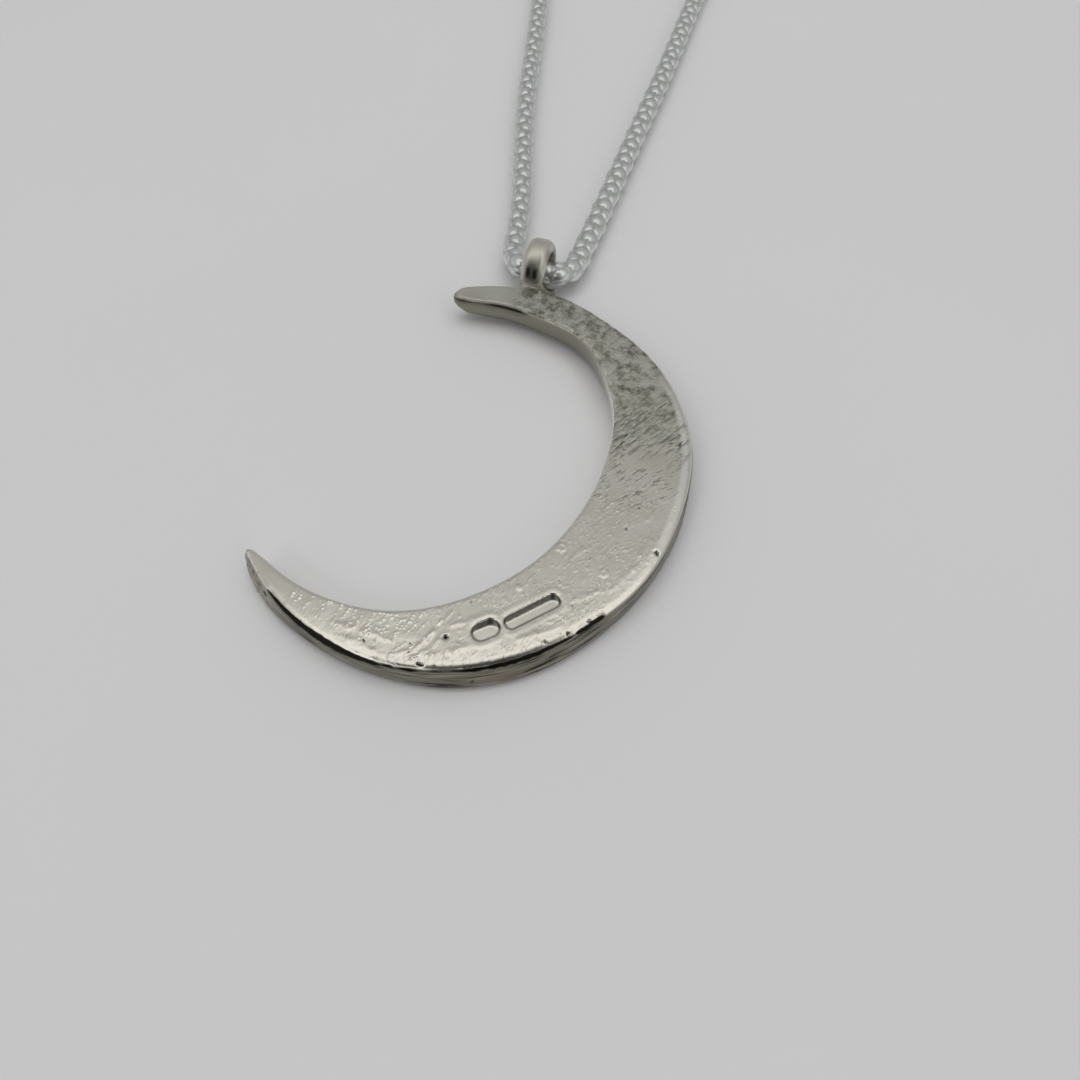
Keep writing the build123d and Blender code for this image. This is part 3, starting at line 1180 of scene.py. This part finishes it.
def route_line(name, side, offsets, end_x):
    """The chain's line from the bail to its end cap, on the part's route points."""
    start = Vector((bail_x, bail_y, chain_radius + bail_lift))
    mouth = Vector((*mouth_direction, 0)) * (side * mouth_run)
    points = [start, start + mouth]
    points += [
        Vector((bail_x + x, bail_y + y, chain_radius + rise * bail_lift))
        for x, y, rise in offsets
    ]
    points.append(Vector((end_x + side * route_end_run, row_y, row_z)))
    points.append(Vector((end_x, row_y, row_z)))
    line = bpy.data.curves.new(name, "CURVE")
    line.dimensions = "3D"
    line.twist_mode = "Z_UP"
    spline = line.splines.new("NURBS")
    spline.points.add(len(points) - 1)
    for control, point in zip(spline.points, points):
        control.co = (*(point * mm), 1.0)
    spline.order_u = 3
    spline.use_endpoint_u = True
    spline.resolution_u = 32
    return line


def line_length(line):
    """The length of a route, measured along it, in mm."""
    holder = helper_from("route_measure", line)
    mesh = bpy.data.meshes.new_from_object(holder)
    bpy.data.objects.remove(holder)
    places = [vert.co.copy() for vert in mesh.vertices]
    return sum((b - a).length for a, b in zip(places, places[1:])) / mm


def add_bump(cell, crease_layer, row, place, pitch, start_turn):
    """Adds one bump to the chain's core."""
    bump = bmesh.ops.create_uvsphere(
        cell, u_segments=bump_sides, v_segments=bump_rings, radius=1.0
    )["verts"]
    bmesh.ops.scale(cell, verts=bump, vec=(bump_length, bump_width, bump_height))
    edges = dict.fromkeys(edge for vert in bump for edge in vert.link_edges)
    faces = dict.fromkeys(face for vert in bump for face in vert.link_faces)
    cut = bmesh.ops.bisect_plane(
        cell,
        geom=[*bump, *edges, *faces],
        plane_co=(0, 0, bump_cut),
        plane_no=(0, 0, 1),
        clear_inner=True,
    )
    rim = only(bmesh.types.BMEdge, cut["geom_cut"])
    bmesh.ops.holes_fill(cell, edges=rim, sides=0)
    verts = only(bmesh.types.BMVert, cut["geom"])
    for vert in verts:
        vert[crease_layer] = 1 - ease(vert.co.z / bump_height, *bump_crease)
    stray = noise.noise_vector(Vector((row * 1.7, place * 2.3, 30.0)))
    turn = start_turn + 2 * pi * (place + 0.5 * row) / bumps_in_row
    rise = bump_centre + bump_rise * stray.y - bump_sink
    along = pitch * (row + 0.5 + bump_slip * stray.z)
    bmesh.ops.rotate(cell, verts=verts, matrix=Matrix.Rotation(bump_tilt * stray.x, 3, "Y"))
    bmesh.ops.translate(cell, verts=verts, vec=(0, 0, rise))
    bmesh.ops.rotate(cell, verts=verts, matrix=Matrix.Rotation(turn, 3, "X"))
    bmesh.ops.translate(cell, verts=verts, vec=(along, 0, 0))


def chain_run(pitch, start_turn, spread):
    """A run of rows of bumps on a length of core, along X from the origin.

    spread is how much wider than high the chain lies.
    """
    cell = bmesh.new()
    crease_layer = cell.verts.layers.float.new("crease")
    core = bmesh.ops.create_circle(cell, segments=core_sides, radius=core_radius)["verts"]
    bmesh.ops.rotate(cell, verts=core, matrix=Matrix.Rotation(pi / 2, 3, "Y"))
    rim = list(cell.edges)
    for _ in range(2 * rows_in_run):
        pulled = bmesh.ops.extrude_edge_only(cell, edges=rim)["geom"]
        rim = only(bmesh.types.BMEdge, pulled)
        verts = only(bmesh.types.BMVert, pulled)
        bmesh.ops.translate(cell, verts=verts, vec=(pitch / 2, 0, 0))
    for vert in cell.verts:
        vert[crease_layer] = 1.0

    for row in range(rows_in_run):
        for place in range(bumps_in_row):
            add_bump(cell, crease_layer, row, place, pitch, start_turn)
    for face in cell.faces:
        face.smooth = True
    bmesh.ops.recalc_face_normals(cell, faces=cell.faces)
    bmesh.ops.scale(cell, verts=cell.verts, vec=(mm, spread * mm, mm))
    return closed(cell, bpy.data.meshes.new("chain_rows"))


def popcorn_chain(name, side, offsets, end_x, start_turn, spread, material, replaced):
    """Rows of bumps along one half of the chain."""
    line = route_line(name + "_route", side, offsets, end_x)
    length = line_length(line)
    runs = round(length / (rows_in_run * row_pitch))
    pitch = length / (rows_in_run * runs)
    rows = helper_from(name + "_rows", chain_run(pitch, start_turn, spread))
    repeat = rows.modifiers.new("repeat", "ARRAY")
    repeat.count = runs
    repeat.use_relative_offset = False
    repeat.use_constant_offset = True
    repeat.constant_offset_displace = (rows_in_run * pitch * mm, 0, 0)
    repeat.use_merge_vertices = True
    repeat.merge_threshold = merge_distance
    guide = helper_from(name + "_guide", line)
    follow = rows.modifiers.new("follow", "CURVE")
    follow.object = guide
    follow.deform_axis = "POS_X"
    mesh = baked(rows)
    bpy.data.objects.remove(guide)

    chain = opened(mesh)
    open_edges = [edge for edge in chain.edges if edge.is_boundary]
    bmesh.ops.holes_fill(chain, edges=open_edges, sides=0)
    finished_piece(name, closed(chain, mesh), material, replaced)


# The studio

def add_floor():
    sheet = bmesh.new()
    bmesh.ops.create_grid(sheet, x_segments=1, y_segments=1, size=floor_half)
    bmesh.ops.translate(sheet, verts=sheet.verts, vec=(0, 0, -floor_drop))
    mesh = closed(sheet, bpy.data.meshes.new("floor"))
    mesh.materials.append(floor_finish())
    helper_from("floor", mesh)


def add_sky():
    """A soft tent: dark round the camera, a bright ring outside that, and pale beyond."""
    white = (1.0, 1.0, 1.0, 1)
    towards_front = (0, -1, 0)

    world = bpy.data.worlds.new("soft_tent")
    world.use_nodes = True
    bpy.context.scene.world = world
    finish = Finish(world.node_tree)
    direction = finish.add("ShaderNodeTexCoord", out="Generated")
    level = finish.facing(direction, to_camera)
    away = finish.add("ShaderNodeMath", {"operation": "ARCCOSINE"}, {0: level}) / pi
    tone = finish.ramp(away, *[(angle / 180, share) for angle, share in tent_tones])
    tent = tone * finish.ramp(finish.facing(direction, towards_front), *front_shade)
    seen_plainly = finish.add("ShaderNodeLightPath", out="Is Camera Ray")
    strength = tent + seen_plainly * (backdrop_tone - tent)
    ring = finish.ramp(away, *[(angle / 180, share) for angle, share in tent_ring])
    light = finish.scaled(finish.blend(ring, white, ring_tint), strength)
    background = finish.add(
        "ShaderNodeBackground", {}, {"Color": light, "Strength": tent_strength}
    )
    finish.add("ShaderNodeOutputWorld", {}, {"Surface": background})


def add_lamp(name, kind, settings, place, mirrored):
    data = bpy.data.lights.new(name, kind)
    for setting, value in settings.items():
        setattr(data, setting, value)
    lamp = helper_from(name, data)
    lamp.location = place
    lamp.visible_glossy = mirrored


def add_camera():
    data = bpy.data.cameras.new("photo_camera")
    data.sensor_width = sensor_width
    data.lens = focal_px / photo_width * sensor_width
    data.clip_start = 0.001
    data.clip_end = 10.0
    camera = helper_from("photo_camera", data)
    camera.location = camera_place * mm
    camera.rotation_euler = (camera_tilt, 0, 0)
    bpy.context.scene.camera = camera
    bpy.context.scene.view_settings.view_transform = "Standard"


add_camera()
add_sky()
# A wide lamp overhead fills the floor. The small one gives each bump of the chain its spark.
add_lamp("fill_lamp", "AREA", fill_lamp, fill_place, mirrored=False)
add_lamp("spark_lamp", "POINT", spark_lamp, spark_place, mirrored=True)
add_floor()

silver = cast_silver()
bright = chain_silver()
polish = polished_silver()

casting = give_relief(casting_skin())
finished_piece("moon_casting", casting, silver, "pendant")

popcorn_chain(
    "popcorn_chain_left", -1, left_route, left_end, left_turn, left_spread, bright, "chain_left"
)
popcorn_chain(
    "popcorn_chain_right", 1, right_route, right_end, right_turn, right_spread, bright,
    "chain_right",
)

for name in ("end_cap_left", "end_cap_right", "clasp"):
    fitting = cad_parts[name]
    for slot in fitting.material_slots:
        slot.material = polish
